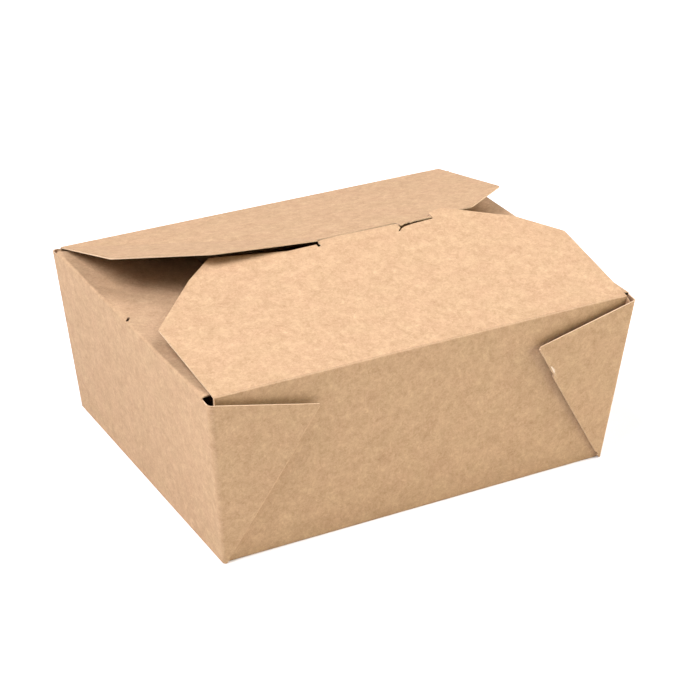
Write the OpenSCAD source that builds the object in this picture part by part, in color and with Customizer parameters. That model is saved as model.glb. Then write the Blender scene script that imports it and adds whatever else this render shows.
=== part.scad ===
// Folded paperboard takeaway box, closed.
// One die-cut blank makes the flared tray with its corner webs, the two side flaps
// turned in at the ends, and the two long lid flaps that lock along the ridge.
// Long side along X, front towards -Y, standing on Z = 0.

/* [Board] */
// Thickness of the paperboard
board = 0.45; // [0.35:0.05:0.7]

/* [Tray] */
// Outside length of the base
base_l = 154; // [120:1:200]
// Outside width of the base
base_w = 122; // [90:1:160]
// Outside length at the top creases of the end walls
top_l = 168; // [130:1:220]
// Outside width at the creases of the lid flaps
top_w = 129; // [95:1:170]
// Height of the tray up to its top creases
body_h = 66; // [40:1:110]
// Bend radius of the upright corners at the base
corner_r_low = 1.2; // [0.8:0.1:3]
// Bend radius of the upright corners at the top
corner_r_top = 2.2; // [1:0.1:5]

/* [Corner webs] */
// How far the web's top corner stands out from the crease of the lid flap
web_gape = 2.4; // [1.5:0.1:4]
// Length of the web's tip along the long wall, from the upright corner's top
web_reach = 42; // [25:1:55]
// Height of the web's tip
web_tip_h = 55.5; // [30:0.5:90]
// Drop of the web's cut edge below the crease of the lid flap, at the corner
web_drop = 1.3; // [1:0.1:3]
// How far the web's tip springs away from the long wall
web_lift = 2; // [0:0.1:3]
// Air between a web and the long wall behind it
web_gap = 0.12; // [0.05:0.01:0.5]
// Height of the nick in the web's folded edge
nick_h = 42; // [15:1:70]
// Depth of the nick in the web's folded edge
nick_step = 0.7; // [0.5:0.1:2.5]

/* [Side flaps] */
// Depth of the side flaps from the end walls
side_depth = 45; // [25:1:60]
// Setback of the side flaps' ends from the upright corners
side_setback = 5.4; // [3:0.1:12]
// Taper of the side flaps at each end
side_taper = 9; // [2:1:20]
// Slope of the side flaps down into the tray, in degrees
side_slope = 4; // [0:0.5:12]
// Bend radius of the end walls' top creases
side_crease_r = 0.9; // [0.8:0.1:2]
// Length of the slit at the middle of the end crease
slit_l = 3.2; // [1:0.1:6]

/* [Lid flaps] */
// Rise of the closed lid flaps, in degrees
lid_rise = 12; // [4:0.5:20]
// Setback of the lid creases' ends from the end walls
lid_setback = 3.2; // [2:0.1:8]
// Depth of the lid flaps along their short side edges
lid_side = 41.5; // [25:0.5:55]
// Radius of the rounded corners of the lid flaps
lid_corner_r = 2; // [0.5:0.1:5]
// Reach of the upper flap past the ridge
lock_over = 0.9; // [0.5:0.1:3]
// Setback of the lower flap from the ridge
lock_under = 1.4; // [1.2:0.1:3]
// Width of the lock's slits in the front flap
lock_slit = 1.2; // [0.4:0.1:1.5]
// Running clearance between the two flaps' tabs along the ridge
lock_gap = 0.2; // [0.15:0.05:0.5]
// Depth of the lock's slits from the ridge
lock_cut = 3; // [1:0.1:8]
// How far the second slit slants back towards the first, down to its end
lock_slant = 2; // [0:0.1:3]
// How much deeper than the first slit the second one runs
lock_hook = 1.4; // [0.3:0.1:3]
// How far the front flap is cut back under the left end of the small tab
lock_gape = 1; // [0:0.1:2]
// Place of the lock's first slit along the ridge, from the middle
lock_a = -8.8; // [-20:0.1:0]
// Length of the front flap's upper tab, between the first and second slits
front_tab = 32.8; // [20:0.1:36]
// Length of the back flap's upper tab, between the second and third slits
back_tab = 14.2; // [10:0.1:18]
// Downward bend of the front flap's tucked wing, in degrees
front_bend = 5; // [2:0.5:8]
// Radius of that bend
front_bend_r = 40; // [20:5:120]
// Upward bend of the back flap's raised wing, in degrees
back_bend = 6.5; // [2:0.5:10]
// Radius of that bend
back_bend_r = 20; // [10:5:80]
// How far right of the first slit the wings start to bend
wing_start = 4; // [0:0.5:8]

/* [Creases] */
// Radius of the pressed crease that carries each lid flap
crease_r = 0.3; // [0.25:0.05:0.5]
// Running clearance between a crease and its lid flap
crease_gap = 0.05; // [0.05:0.05:0.3]

/* [Hidden] */
$fa = 6;
$fs = 0.3;
long_lean = atan((top_w - base_w) / 2 / body_h);
end_lean = atan((top_l - base_l) / 2 / body_h);
hinge_y = top_w / 2 - board / 2;
hinge_x = top_l / 2 - lid_setback;
ridge = hinge_y / cos(lid_rise);
over_d = (hinge_y + lock_over) / cos(lid_rise);
under_d = (hinge_y - lock_under) / cos(lid_rise);
lock_b = lock_a + front_tab;
lock_c = lock_b + back_tab;
web_tip_x = top_l / 2 - web_reach;
ply_back = 0.35;

// Outer face of the front web's upper ply: through the base corner, the tip and the top corner
web_y0 = -(base_w / 2 + 2 * board + web_gap);
web_tip_y = -(base_w / 2 + (top_w - base_w) / 2 * web_tip_h / body_h + 2 * board + web_gap + web_lift);
web_top_y = -(top_w / 2 + web_gape);
web_run = (base_l / 2 - web_tip_x);
web_out = (top_l - base_l) / 2;
web_q = ((web_top_y - web_y0) * web_run + (web_tip_y - web_y0) * web_out)
      / (body_h * web_run + web_tip_h * web_out);
web_p = (web_tip_y - web_y0 - web_q * web_tip_h) / web_run;

function end_x(z) = -(base_l / 2 + (top_l - base_l) / 2 * z / body_h);
function web_pt(x, z, inset) = [x, web_y0 + web_p * (x + base_l / 2) + web_q * z + inset, z];
function corner_r(z) = corner_r_low + (corner_r_top - corner_r_low) * z / body_h;

// Point of the rounded upright corner at height z, turned by a from the web's face
function corner_pt(a, z, inset) =
    let (r = corner_r(z), c = web_pt(end_x(z) + r, z, r))
    [c.x - (r - inset) * sin(a), c.y - (r - inset) * cos(a), z];

// Place along the web's fold line at height z, and height of its cut top edge at x
fold_x0 = corner_r_low - base_l / 2;
function fold_x(z) = fold_x0 + (-web_tip_x - fold_x0) * z / web_tip_h;
fold_in = board / sin(atan2(web_tip_h, -web_tip_x - fold_x0));

// Bend at the top of the end wall: the height at which it starts, and its centre
side_z = body_h - side_crease_r * (1 + sin(end_lean));
side_c = [end_x(side_z) + side_crease_r * cos(end_lean), body_h - side_crease_r];
side_half = top_w / 2 + web_gape - side_setback;

// A folded sheet between its lower and upper edges, outer and inner faces given
module folded_sheet(low, top, top_in, low_in) {
    n = len(low);
    pts = concat(low, top, top_in, low_in);
    faces = concat(
        [for (k = [0 : 3], i = [0 : n - 2])
            let (a = k * n, b = ((k + 1) % 4) * n)
            for (f = [[a + i, a + i + 1, b + i + 1], [a + i, b + i + 1, b + i]]) f],
        [[0, n, 2 * n, 3 * n]],
        [[4 * n - 1, 3 * n - 1, 2 * n - 1, n - 1]]
    );
    polyhedron(points = pts, faces = faces, convexity = 6);
}

function plan_dir(a, b) = let (d = [b.x - a.x, b.y - a.y]) d / norm(d);

// Arc points that round one corner of an outline, each corner given as [x, y, radius]
function corner_arc(a, b, c) =
    let (
        u = plan_dir(b, a),
        v = plan_dir(b, c),
        turn = acos(max(-1, min(1, u * v))),
        s = b[2] / tan(turn / 2),
        p = [b.x, b.y] + u * s,
        q = [b.x, b.y] + v * s,
        o = [b.x, b.y] + (u + v) / norm(u + v) * b[2] / sin(turn / 2)
    )
    b[2] <= 0 ? [[b.x, b.y]] : [
        for (k = [0 : 4])
            let (w = p * (1 - k / 4) + q * (k / 4) - o)
            o + w / norm(w) * b[2]
    ];
function rounded(p) = [
    for (i = [0 : len(p) - 1])
        each corner_arc(p[(i + len(p) - 1) % len(p)], p[i], p[(i + 1) % len(p)])
];

// Places on a lid flap: along its wing, along its short side and up its slanted edges
function wing_x(s) = -hinge_x + s * (lock_a + hinge_x);
function short_x(s) = hinge_x - s * (hinge_x - lock_c);
function slant_d(s) = lid_side + s * (ridge - lid_side);

// Outline of the front flap: its tucked wing on the left, its upper tab and right wing
front_outline = [
    [-hinge_x, crease_r + crease_gap, 0],
    [hinge_x, crease_r + crease_gap, 0],
    [hinge_x + 0.3, lid_side, lid_corner_r],
    [short_x(0.293), slant_d(0.578), 3],
    [short_x(0.854), ridge + 3.8, 3],
    [lock_c + 0.5, ridge + 2.4, 0.6],
    [lock_c + lock_gap / 2, ridge + 1.8, 0.4],
    [lock_c + lock_gap / 2, under_d, 0],
    [lock_b + back_tab * 0.4, under_d - lock_gape * 0.4, 0],
    [lock_b + 1.6, under_d - lock_gape, 0],
    [lock_b + lock_slit / 4, ridge - lock_cut, 0],
    [lock_b + lock_slit / 2 - lock_slant, ridge - lock_cut - lock_hook, 0],
    [lock_b - lock_slant, ridge - lock_cut - lock_hook + 0.2, 0],
    [lock_b - lock_gap / 2, ridge - lock_cut + 0.6, 0],
    [lock_b - lock_gap / 2, over_d - 0.9, 0.3],
    [lock_a + front_tab / 3, over_d - 0.5, 4],
    [lock_a + lock_gap / 2, over_d - 0.6, 0.3],
    [lock_a + lock_gap / 2, ridge - lock_cut, 0],
    [lock_a - lock_slit, ridge - lock_cut, 0],
    [lock_a - lock_slit, under_d, 0],
    [wing_x(0.833), under_d + 0.6, 0],
    [wing_x(0.528), slant_d(1.23), 1],
    [wing_x(0.458), slant_d(1.3), 1],
    [wing_x(0.292), slant_d(0.909), 4],
    [-hinge_x - 0.6, lid_side, lid_corner_r]
];

// Outline of the back flap: its raised wing on the left, its small upper tab and tucked right side
back_outline = [
    [-hinge_x, crease_r + crease_gap, 0],
    [hinge_x, crease_r + crease_gap, 0],
    [hinge_x + 0.4, lid_side + 3.5, lid_corner_r],
    [short_x(0.575), under_d + 0.4, 3],
    [lock_c - lock_gap / 2, under_d, 0],
    [lock_c - lock_gap / 2, over_d - 0.3, 0.4],
    [lock_b + back_tab * 0.45, over_d - 0.3, 1],
    [lock_b + back_tab * 0.34, over_d + 0.4, 0.2],
    [lock_b + back_tab * 0.3, over_d - 0.4, 0.2],
    [lock_b + 1.6, over_d + 0.6, 2],
    [lock_b + lock_gap / 2, over_d + 1.8, 0.4],
    [lock_b + lock_gap / 2, under_d, 0],
    [lock_a - lock_gap / 2, under_d, 0],
    [lock_a - lock_gap / 2, over_d - 0.1, 0.2],
    [wing_x(0.833), over_d - 0.2, 6],
    [wing_x(0.438), ridge - 0.8, 6],
    [-hinge_x + 2.2, lid_side + 2, lid_corner_r]
];

// Cross-section of a sheet that is flat, then bends by b degrees and runs on
function bend_pt(a, b, r, h) =
    let (s = sign(b))
    [r * sin(a) - s * h * sin(a), s * r * (1 - cos(a)) + h * cos(a)];
function bend_side(b, r, h) = concat(
    [[-2 * top_w, h]],
    [for (k = [0 : 8]) bend_pt(abs(b) * k / 8, b, r, h)],
    [bend_pt(abs(b), b, r, h) + top_w * [cos(b), sin(b)]]
);
module bend_section(b, r) {
    top = bend_side(b, r, board / 2);
    low = bend_side(b, r, -board / 2);
    polygon(concat(top, [for (k = [len(low) - 1 : -1 : 0]) low[k]]));
}

// A lid flap lying closed: cut from a sheet that bends along a line from its
// hinge end to a little past the first slit
module lid_flap(outline, bend, bend_r) {
    translate([0, -hinge_y, body_h])
        rotate([lid_rise, 0, 0])
            intersection() {
                linear_extrude(height = lid_side, center = true)
                    polygon(rounded(outline));
                translate([-hinge_x, 0, 0])
                    rotate([0, 0, atan2(ridge - lock_cut, lock_a + wing_start + hinge_x)])
                        translate([-top_w / 2, 0, 0])
                            rotate([90, 0, 90])
                                linear_extrude(height = 2 * top_l)
                                    bend_section(bend, bend_r);
            }
}

// Long wall of the tray with the pressed crease along its top
module long_wall() {
    translate([0, -base_w / 2, 0])
        rotate([90 + long_lean, 0, 0])
            translate([0, 0, -board])
                linear_extrude(height = board)
                    polygon([
                        [-base_l / 2 + corner_r_low / 2, board],
                        [base_l / 2 - corner_r_low / 2, board],
                        [hinge_x, body_h / cos(long_lean)],
                        [-hinge_x, body_h / cos(long_lean)]
                    ]);
    translate([-hinge_x, -hinge_y, body_h])
        rotate([0, 90, 0])
            cylinder(r = crease_r, h = 2 * hinge_x);
    translate([-base_l / 2 + corner_r_low, -base_w / 2 + board, board])
        rotate([0, 90, 0])
            cylinder(r = board, h = base_l - 2 * corner_r_low);
}

// Base panel
module base_panel() {
    linear_extrude(height = board)
        polygon(rounded([
            [-base_l / 2 + board, -base_w / 2 + board, corner_r_low],
            [base_l / 2 - board, -base_w / 2 + board, corner_r_low],
            [base_l / 2 - board, base_w / 2 - board, corner_r_low],
            [-base_l / 2 + board, base_w / 2 - board, corner_r_low]
        ]));
}

// Lower and upper edges of the left end wall's front half and its web, at an inset
function wrap_low(inset) = concat(
    [web_pt(-web_tip_x, web_tip_h - 0.5, inset)],
    [for (a = [0 : 15 : 90]) corner_pt(a, board / 2, inset)],
    [[end_x(board / 2) + inset, -base_w / 2 + 8, board / 2]]
);
function wrap_top(inset) = concat(
    [web_pt(-web_tip_x, web_tip_h, inset)],
    [for (a = [0 : 15 : 90]) corner_pt(a, body_h - web_drop, inset)],
    [[end_x(side_z) + inset, -side_half, side_z]]
);

// A line of points carried on by its mirror image towards the back
function to_back(p) = concat(p, [for (k = [len(p) - 1 : -1 : 0]) [p[k].x, -p[k].y, p[k].z]]);

// Edges of the web's under ply at an inset
function ply_low(inset) = [
    web_pt(-web_tip_x, web_tip_h - 2, inset),
    web_pt(fold_x0 + ply_back, board + ply_back, inset)
];
function ply_top(inset) = [
    web_pt(-web_tip_x, web_tip_h - 2 * ply_back, inset),
    web_pt(-top_l / 2 + corner_r_top + ply_back, body_h - web_drop - 2 * ply_back, inset)
];

// Both plies of a corner web, open along the fold, with the left end wall
module end_sheets() {
    folded_sheet(
        to_back(wrap_low(0)), to_back(wrap_top(0)),
        to_back(wrap_top(board)), to_back(wrap_low(board))
    );
    for (side = [0, 1]) mirror([0, side, 0])
        folded_sheet(
            ply_low(board / 2), ply_top(board / 2),
            ply_top(2 * board), ply_low(2 * board)
        );
}

// What is cut from both plies: everything past the centre of the fold, which steps
// back at the nick
module fold_trim() {
    step = fold_in + nick_step;
    rotate([90, 0, 0])
        linear_extrude(height = 2 * top_w, center = true)
            polygon([
                [fold_x(2) - fold_in, 2],
                [fold_x(nick_h) - fold_in, nick_h],
                [fold_x(nick_h + 0.8) - step, nick_h + 0.8],
                [fold_x(web_tip_h - 0.6) - step, web_tip_h - 0.6],
                [-web_tip_x - step, web_tip_h + 4],
                [-web_tip_x + 4, web_tip_h + 4],
                [fold_x(nick_h) + 5, nick_h],
                [fold_x(2) + 3, 1]
            ]);
}

// Rounded fold of the front left web between two heights, set in by a step
module fold_bead(z0, z1, step) {
    p = web_pt(fold_x(z0) - fold_in - step, z0, board);
    d = web_pt(fold_x(z1) - fold_in - step, z1, board) - p;
    translate(p)
        rotate([0, acos(d.z / norm(d)), atan2(d.y, d.x)])
            cylinder(r = board - 0.02, h = norm(d));
}

// Fold that joins the front left web's under ply to the long wall's edge
module corner_fold() {
    hull() {
        translate(ply_low(1.8 * board)[1])
            sphere(r = board / 2);
        translate(ply_top(1.5 * board)[1] - [0, 0, 0.3])
            sphere(r = board / 2);
        translate([-hinge_x, -hinge_y, body_h - 0.2])
            sphere(r = board / 2);
    }
}

// Left end wall, wrapped round both upright corners into the corner webs
module end_wrap() {
    difference() {
        end_sheets();
        fold_trim();
    }
    for (side = [0, 1]) mirror([0, side, 0]) {
        fold_bead(3, nick_h - 0.1, 0);
        fold_bead(nick_h + 1.2, web_tip_h - 0.7, nick_step);
        corner_fold();
    }
    translate([-base_l / 2 + board, -base_w / 2 + corner_r_low, board])
        rotate([-90, 0, 0])
            cylinder(r = board, h = base_w - 2 * corner_r_low);
}

// Side flap turned in at the left end, over a rounded crease with a slit at its middle
module side_flap() {
    translate([side_c[0], 0, side_c[1]])
        difference() {
            union() {
                translate([0, -side_half, 0])
                    rotate([-90, 0, 0])
                        rotate([0, 0, 176 - end_lean])
                            rotate_extrude(angle = 98 + end_lean + side_slope)
                                translate([side_crease_r - board + 0.02, 0])
                                    square([board - 0.04, 2 * side_half]);
                rotate([0, side_slope, 0])
                    translate([0, 0, side_crease_r - board])
                        linear_extrude(height = board)
                            polygon(rounded([
                                [0, -side_half, 0],
                                [side_depth, -side_half + side_taper, 8],
                                [side_depth, side_half - side_taper, 8],
                                [0, side_half, 0]
                            ]));
            }
            translate([0.6, 0, side_crease_r - board / 2])
                rotate([0, 0, 52])
                    cube([slit_l, 0.9, 4 * board], center = true);
        }
}

module tray() color([0.80, 0.66, 0.49]) {
    base_panel();
    for (side = [0, 1]) mirror([0, side, 0]) long_wall();
    for (end = [0, 1]) mirror([end, 0, 0]) {
        end_wrap();
        side_flap();
    }
}

module front_flap() color([0.95, 0.79, 0.65]) {
    lid_flap(front_outline, -front_bend, front_bend_r);
}

module back_flap() color([0.89, 0.73, 0.60]) {
    mirror([0, 1, 0]) lid_flap(back_outline, back_bend, back_bend_r);
}

tray();
front_flap();
back_flap();
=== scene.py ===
import math

import bmesh
import bpy
from mathutils import Matrix, Vector
from mathutils.bvhtree import BVHTree

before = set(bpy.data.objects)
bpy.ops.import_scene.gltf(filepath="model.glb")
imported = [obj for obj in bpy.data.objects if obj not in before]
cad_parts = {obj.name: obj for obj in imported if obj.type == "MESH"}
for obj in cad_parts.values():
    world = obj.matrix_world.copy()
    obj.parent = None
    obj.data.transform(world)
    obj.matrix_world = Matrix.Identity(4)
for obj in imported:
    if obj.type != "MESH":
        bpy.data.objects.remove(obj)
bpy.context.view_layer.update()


# ---- The camera ----
# A long lens a little left of the box's front and 28 degrees above the table, as a
# product photographer sets it to show the lid, the long front and one short end.
CAMERA_PLACE = (-0.3380, -0.6101, 0.4012)
CAMERA_AZIMUTH = -29.36
CAMERA_ELEVATION = 27.76
CAMERA_ROLL = 0.913
CAMERA_LENS = 110.5

camera_data = bpy.data.cameras.new("camera")
camera_data.lens = CAMERA_LENS
camera_data.sensor_width = 36.0
camera = bpy.data.objects.new("camera", camera_data)
bpy.context.scene.collection.objects.link(camera)
camera.matrix_world = (
    Matrix.Translation(CAMERA_PLACE)
    @ Matrix.Rotation(math.radians(CAMERA_AZIMUTH), 4, "Z")
    @ Matrix.Rotation(math.radians(90 - CAMERA_ELEVATION), 4, "X")
    @ Matrix.Rotation(math.radians(CAMERA_ROLL), 4, "Z")
)
bpy.context.scene.camera = camera
bpy.context.scene.view_settings.view_transform = "Standard"


# ---- The folded tray ----
# One blank of unbleached kraft board, creased and folded up into a flared tray. Each
# corner's gusset is folded flat against the long wall, and the two side flaps turn in.
MM = 0.001
BOARD = 0.45 * MM
WALL_HALF_WIDTH = 60.0 * MM
# The fold of each corner web, as its foot and its tip along the box and up it
FOLD_FOOT = Vector((75.8 * MM, 0.0))
FOLD_TIP = Vector((42.0 * MM, 55.5 * MM))
# The middle of the nick that the knife left in the fold, and its size across and along
NICK_PLACE = (49.6 * MM, 66.0 * MM, 44.6 * MM)
NICK_WIDTH = 1.0 * MM
NICK_LENGTH = 2.6 * MM
# How far behind a face its other side may lie, on a single flap and on the folded tray
FLAP_REACH = 1.2 * MM
TRAY_REACH = 1.6 * MM
# Where the ray that looks for that other side starts behind the face, and its length
PROBE_START = 0.01 * MM
PROBE_LENGTH = 5.0 * MM
# How far from a web's fold its narrow strips still turn round it
FOLD_STRIP_REACH = 1.6 * MM
# What bounds the inner faces: across the tray, above the base, and below the side flaps
INNER_HALF_WIDTH = 64.9 * MM
BASE_TOP_LIMIT = 1.0 * MM
SIDE_FLAP_BOTTOM = 60.0 * MM


def linear(hex_code):
    """An sRGB hex colour as linear red, green, blue and alpha."""
    parts = [int(hex_code[i : i + 2], 16) / 255 for i in (0, 2, 4)]
    return [c / 12.92 if c <= 0.04045 else ((c + 0.055) / 1.055) ** 2.4 for c in parts] + [1.0]


def add_node(tree, kind, settings=None, links=None):
    """Adds a node, gives it its settings and input values, and links its inputs."""
    made = tree.nodes.new(kind)
    for key, value in (settings or {}).items():
        if isinstance(key, str) and hasattr(made, key):
            setattr(made, key, value)
        else:
            made.inputs[key].default_value = value
    for key, source in (links or {}).items():
        tree.links.new(source, made.inputs[key])
    return made


def torn_nick(tree, place, colour):
    """Lays the pale fibres of the torn nick over the board's colour, at both right webs."""
    mirrored = add_node(
        tree, "ShaderNodeVectorMath", {"operation": "MULTIPLY", 1: (1.0, -1.0, 1.0)}, {0: place}
    )
    right_side = add_node(
        tree,
        "ShaderNodeVectorMath",
        {"operation": "MAXIMUM"},
        {0: mirrored.outputs["Vector"], 1: place},
    )
    along_fold = math.atan2(FOLD_FOOT.x - FOLD_TIP.x, FOLD_TIP.y)
    from_nick = add_node(
        tree,
        "ShaderNodeVectorMath",
        {"operation": "SUBTRACT", 1: NICK_PLACE},
        {0: right_side.outputs["Vector"]},
    )
    turned = add_node(
        tree,
        "ShaderNodeMapping",
        {"Rotation": (0.0, along_fold, 0.0)},
        {"Vector": from_nick.outputs["Vector"]},
    )
    sized = add_node(
        tree,
        "ShaderNodeMapping",
        {"Scale": (1 / NICK_WIDTH, 0.5 / NICK_WIDTH, 1 / NICK_LENGTH)},
        {"Vector": turned.outputs["Vector"]},
    )
    reach = add_node(
        tree, "ShaderNodeVectorMath", {"operation": "LENGTH"}, {0: sized.outputs["Vector"]}
    )
    # Frayed ends are 0.05 mm wide, drawn 0.9 mm wide so that they show
    frayed = add_node(
        tree,
        "ShaderNodeTexNoise",
        {"Scale": 1 / (0.9 * MM), "Detail": 2.0, "Roughness": 0.7},
        {"Vector": place},
    )
    edge = add_node(
        tree,
        "ShaderNodeMath",
        {"operation": "MULTIPLY_ADD", 1: 1.6, 2: -0.8},
        {0: frayed.outputs["Fac"]},
    )
    rough_reach = add_node(
        tree,
        "ShaderNodeMath",
        {"operation": "ADD"},
        {0: reach.outputs["Value"], 1: edge.outputs["Value"]},
    )
    torn = add_node(
        tree,
        "ShaderNodeMapRange",
        {"From Min": 0.7, "From Max": 1.15, "To Min": 0.9, "To Max": 0.0},
        {"Value": rough_reach.outputs["Value"]},
    )
    return add_node(
        tree,
        "ShaderNodeMix",
        {"data_type": "RGBA", 7: linear("E2D0BA")},
        {0: torn.outputs["Result"], 6: colour},
    ).outputs[2]


def kraft_board(name, dark, light, lining=0.0, nicked=False):
    """Unbleached kraft paperboard: matt and mottled, because the pulp settles in flocs
    and its fibres lie flat and crossed on the sheet. The inner face has a thin lining
    against grease, which gives it a low sheen."""
    material = bpy.data.materials.new(name)
    material.use_nodes = True
    tree = material.node_tree
    tree.nodes.clear()
    place = add_node(tree, "ShaderNodeTexCoord").outputs["Object"]
    # Flocs of pulp, 0.25 to 4 mm across
    pulp = add_node(
        tree,
        "ShaderNodeTexNoise",
        {"Scale": 1 / (4.0 * MM), "Detail": 4.0, "Roughness": 0.9, "Distortion": 0.2},
        {"Vector": place},
    ).outputs["Fac"]
    # Fibres are 0.03 mm wide, too fine to show, so they are drawn as dark and pale curls
    # 0.8 to 2.6 mm across
    for size, weight in ((2.6 * MM, -0.65), (1.3 * MM, 0.55), (0.8 * MM, -0.6)):
        curls = add_node(
            tree,
            "ShaderNodeTexNoise",
            {"Scale": 1 / size, "Detail": 1.0, "Roughness": 0.6, "Distortion": 1.2},
            {"Vector": place},
        )
        fibres = add_node(
            tree,
            "ShaderNodeMath",
            {"operation": "PINGPONG", 1: 0.5},
            {0: curls.outputs["Fac"]},
        )
        pulp = add_node(
            tree,
            "ShaderNodeMath",
            {"operation": "MULTIPLY_ADD", 1: weight},
            {0: fibres.outputs["Value"], 2: pulp},
        ).outputs["Value"]
    depth = add_node(
        tree, "ShaderNodeMapRange", {"From Min": -0.17, "From Max": 0.57}, {"Value": pulp}
    )
    tone = add_node(
        tree,
        "ShaderNodeMix",
        {"data_type": "RGBA", 6: linear(dark), 7: linear(light)},
        {0: depth.outputs["Result"]},
    )
    # Batches of pulp differ a little in hue, in patches about 10 mm across
    batches = add_node(
        tree,
        "ShaderNodeTexNoise",
        {"Scale": 1 / (9 * MM), "Detail": 1.5, "Roughness": 0.5},
        {"Vector": place},
    )
    hue = add_node(tree, "ShaderNodeValToRGB", links={"Fac": batches.outputs["Fac"]})
    hue.color_ramp.elements[0].position = 0.3
    hue.color_ramp.elements[0].color = linear("FFFDFC")
    hue.color_ramp.elements[1].position = 0.7
    hue.color_ramp.elements[1].color = linear("FEFFFC")
    colour = add_node(
        tree,
        "ShaderNodeMix",
        {"data_type": "RGBA", "blend_type": "MULTIPLY", 0: 1.0},
        {6: tone.outputs[2], 7: hue.outputs["Color"]},
    ).outputs[2]
    if nicked:
        colour = torn_nick(tree, place, colour)
    relief = add_node(
        tree,
        "ShaderNodeBump",
        {"Strength": 0.3, "Distance": 0.04 * MM},
        {"Height": pulp},
    )
    shader = add_node(
        tree,
        "ShaderNodeBsdfPrincipled",
        {
            "Roughness": 0.8,
            "IOR": 1.45,
            "Specular IOR Level": 0.25,
            "Coat Weight": lining,
            "Coat Roughness": 0.45,
        },
        {"Base Color": colour, "Normal": relief.outputs["Normal"]},
    )
    add_node(tree, "ShaderNodeOutputMaterial", links={"Surface": shader.outputs["BSDF"]})
    return material


def cut_edge(name, shade, deep_shade):
    """The board's die-cut edge: paler than its faces, because the knife opens the fibres."""
    material = bpy.data.materials.new(name)
    material.use_nodes = True
    tree = material.node_tree
    tree.nodes.clear()
    place = add_node(tree, "ShaderNodeTexCoord").outputs["Object"]
    # Torn fibre ends are 0.05 mm apart, drawn 0.6 mm apart so that they show
    ends = add_node(
        tree,
        "ShaderNodeTexNoise",
        {"Scale": 1 / (0.6 * MM), "Detail": 3.0, "Roughness": 0.6},
        {"Vector": place},
    )
    colour = add_node(
        tree,
        "ShaderNodeMix",
        {"data_type": "RGBA", 6: linear(deep_shade), 7: linear(shade)},
        {0: ends.outputs["Fac"]},
    )
    relief = add_node(
        tree,
        "ShaderNodeBump",
        {"Strength": 0.4, "Distance": 0.05 * MM},
        {"Height": ends.outputs["Fac"]},
    )
    shader = add_node(
        tree,
        "ShaderNodeBsdfPrincipled",
        {"Roughness": 0.9, "IOR": 1.45, "Specular IOR Level": 0.2},
        {"Base Color": colour.outputs[2], "Normal": relief.outputs["Normal"]},
    )
    add_node(tree, "ShaderNodeOutputMaterial", links={"Surface": shader.outputs["BSDF"]})
    return material


def is_web_fold(face, corners):
    """Whether a face is one of the narrow strips that turn round a web's fold."""
    foot_to_tip = (FOLD_TIP - FOLD_FOOT).normalized()
    spot = Vector((abs(face.center.x), face.center.z)) - FOLD_FOOT
    off_fold = abs(spot.x * foot_to_tip.y - spot.y * foot_to_tip.x)
    longest = max((corners[k] - corners[k - 1]).length for k in range(len(corners)))
    return (
        abs(face.center.y) > WALL_HALF_WIDTH
        and off_fold < FOLD_STRIP_REACH
        and 2 * face.area / longest < BOARD
    )


def dress(piece, ply_limit, lined):
    """Gives a sheet its outer board, its cut edges, its folds with a painted highlight and its
    lining.
    """
    mesh = piece.data
    mesh.materials.clear()
    for finish in (board_paper, board_edge, fold_highlight_board, board_lining):
        mesh.materials.append(finish)
    tree = BVHTree.FromPolygons(
        [v.co for v in mesh.vertices], [p.vertices for p in mesh.polygons]
    )
    for face in mesh.polygons:
        start = face.center - face.normal * PROBE_START
        found = tree.ray_cast(start, -face.normal, PROBE_LENGTH)
        if found[0] is None or found[3] > ply_limit:
            face.material_index = 1
        elif lined(face):
            face.material_index = 3
        # Strips round a web's fold get a paler board: a painted highlight along the fold
        elif is_web_fold(face, [mesh.vertices[v].co for v in face.vertices]):
            face.material_index = 2


board_paper = kraft_board("kraft_board", "977757", "C3A37F", nicked=True)
# A paler board for the web folds' strips: a painted highlight along each fold
fold_highlight_board = kraft_board("kraft_board_painted_fold_highlight", "A0805F", "CBAB88")
board_lining = kraft_board("kraft_board_greaseproof_lining", "906D4C", "BA9675", lining=0.35)
board_edge = cut_edge("kraft_board_cut_edge", "D3BA9C", "B3946F")

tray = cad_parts["tray"]


def faces_inside_tray(face):
    """Whether a face of the tray looks in at the food or down from a side flap."""
    inward = Vector((-face.center.x, -face.center.y, 0.0))
    middle = abs(face.center.y) < INNER_HALF_WIDTH
    down = face.normal.z < -0.9 and face.center.z > SIDE_FLAP_BOTTOM
    up = face.normal.z > 0.9 and face.center.z < BASE_TOP_LIMIT
    wall = abs(face.normal.z) < 0.3 and face.normal.dot(inward) > 0
    return middle and (down or up or wall)


dress(tray, TRAY_REACH, faces_inside_tray)


# ---- The lid's front flap ----
# The long flap hinged on the front wall's crease. Its wide tab lies over the back
# flap along the ridge, and its left wing is tucked under.
front_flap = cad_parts["front_flap"]


def faces_food(face):
    """Whether a face of a closed lid flap looks down at the food."""
    return face.normal.z < -0.3


dress(front_flap, FLAP_REACH, faces_food)


# ---- The lid's back flap ----
# The same flap from the back wall, cut with a smaller tab that hooks over the front
# flap through the lock's slits.
back_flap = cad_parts["back_flap"]
dress(back_flap, FLAP_REACH, faces_food)


# ---- The table and the light ----
# A white table whose far parts glow a little, because the lamps don't reach them, soft
# boxes overhead and to the sides, and a white backdrop that gives no light.
TABLE_HALF_WIDTH = 4.0
GLOW_START = 0.5
GLOW_FULL = 2.0
BOX_MIDDLE = (0.0, 0.0, 0.04)

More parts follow.
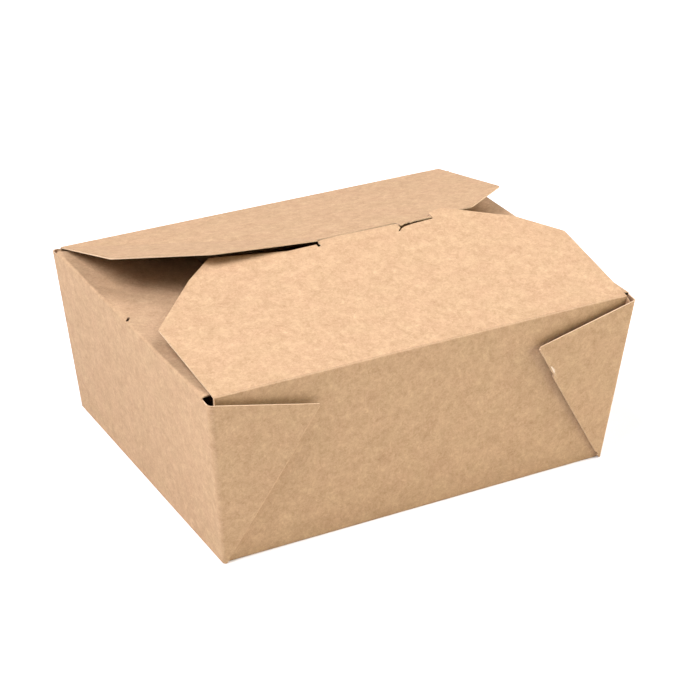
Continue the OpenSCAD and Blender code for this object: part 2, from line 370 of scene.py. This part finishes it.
table_mesh = bpy.data.meshes.new("table")
table_form = bmesh.new()
bmesh.ops.create_grid(table_form, x_segments=1, y_segments=1, size=TABLE_HALF_WIDTH)
table_form.to_mesh(table_mesh)
table_form.free()
table = bpy.data.objects.new("table", table_mesh)
bpy.context.scene.collection.objects.link(table)
table_paint = bpy.data.materials.new("pale_table")
table_paint.use_nodes = True
table_shader = table_paint.node_tree.nodes["Principled BSDF"]
table_shader.inputs["Base Color"].default_value = linear("F4F3F1")
table_shader.inputs["Roughness"].default_value = 0.9
table_shader.inputs["Specular IOR Level"].default_value = 0.1
table_tree = table_paint.node_tree
from_middle = add_node(
    table_tree,
    "ShaderNodeVectorMath",
    {"operation": "LENGTH"},
    {0: add_node(table_tree, "ShaderNodeTexCoord").outputs["Object"]},
)
glow = add_node(
    table_tree,
    "ShaderNodeMapRange",
    {"From Min": GLOW_START, "From Max": GLOW_FULL},
    {"Value": from_middle.outputs["Value"]},
)
table_shader.inputs["Emission Color"].default_value = (1.0, 1.0, 1.0, 1.0)
table_tree.links.new(glow.outputs["Result"], table_shader.inputs["Emission Strength"])
table_mesh.materials.append(table_paint)


def soft_box(name, place, size, power, colour):
    """A square lamp that points from its place towards the box."""
    data = bpy.data.lights.new(name, "AREA")
    data.shape = "SQUARE"
    data.size = size
    data.energy = power
    data.color = colour
    lamp = bpy.data.objects.new(name, data)
    bpy.context.scene.collection.objects.link(lamp)
    lamp.location = place
    lamp.rotation_mode = "QUATERNION"
    lamp.rotation_quaternion = (Vector(BOX_MIDDLE) - Vector(place)).to_track_quat("-Z", "Y")


soft_box("left_overhead_box", (-0.8, -0.1, 1.2), 0.9, 31.6, (0.88, 0.88, 1.0))
soft_box("right_overhead_box", (0.8, 0.0, 1.2), 0.9, 19.6, (0.89, 0.89, 1.0))
soft_box("left_box", (-1.4, -0.2, 0.6), 0.8, 6.5, (0.96, 1.0, 0.96))
soft_box("front_right_box", (1.1, -1.1, 0.6), 0.6, 8.6, (1.0, 0.97, 0.66))
soft_box("right_box", (1.4, -0.5, 0.6), 0.5, 11.6, (1.0, 0.98, 0.94))

room = bpy.data.worlds.new("room")
room.use_nodes = True
backdrop = room.node_tree.nodes["Background"]
backdrop.inputs["Color"].default_value = (1.0, 1.0, 1.0, 1.0)
unlit = add_node(room.node_tree, "ShaderNodeBackground", {"Strength": 0.0})
path = add_node(room.node_tree, "ShaderNodeLightPath")
# Only the camera sees the backdrop, so that the soft boxes alone light the box
seen = add_node(
    room.node_tree,
    "ShaderNodeMixShader",
    links={
        0: path.outputs["Is Camera Ray"],
        1: unlit.outputs["Background"],
        2: backdrop.outputs["Background"],
    },
)
room.node_tree.links.new(
    seen.outputs["Shader"], room.node_tree.nodes["World Output"].inputs["Surface"]
)
bpy.context.scene.world = room
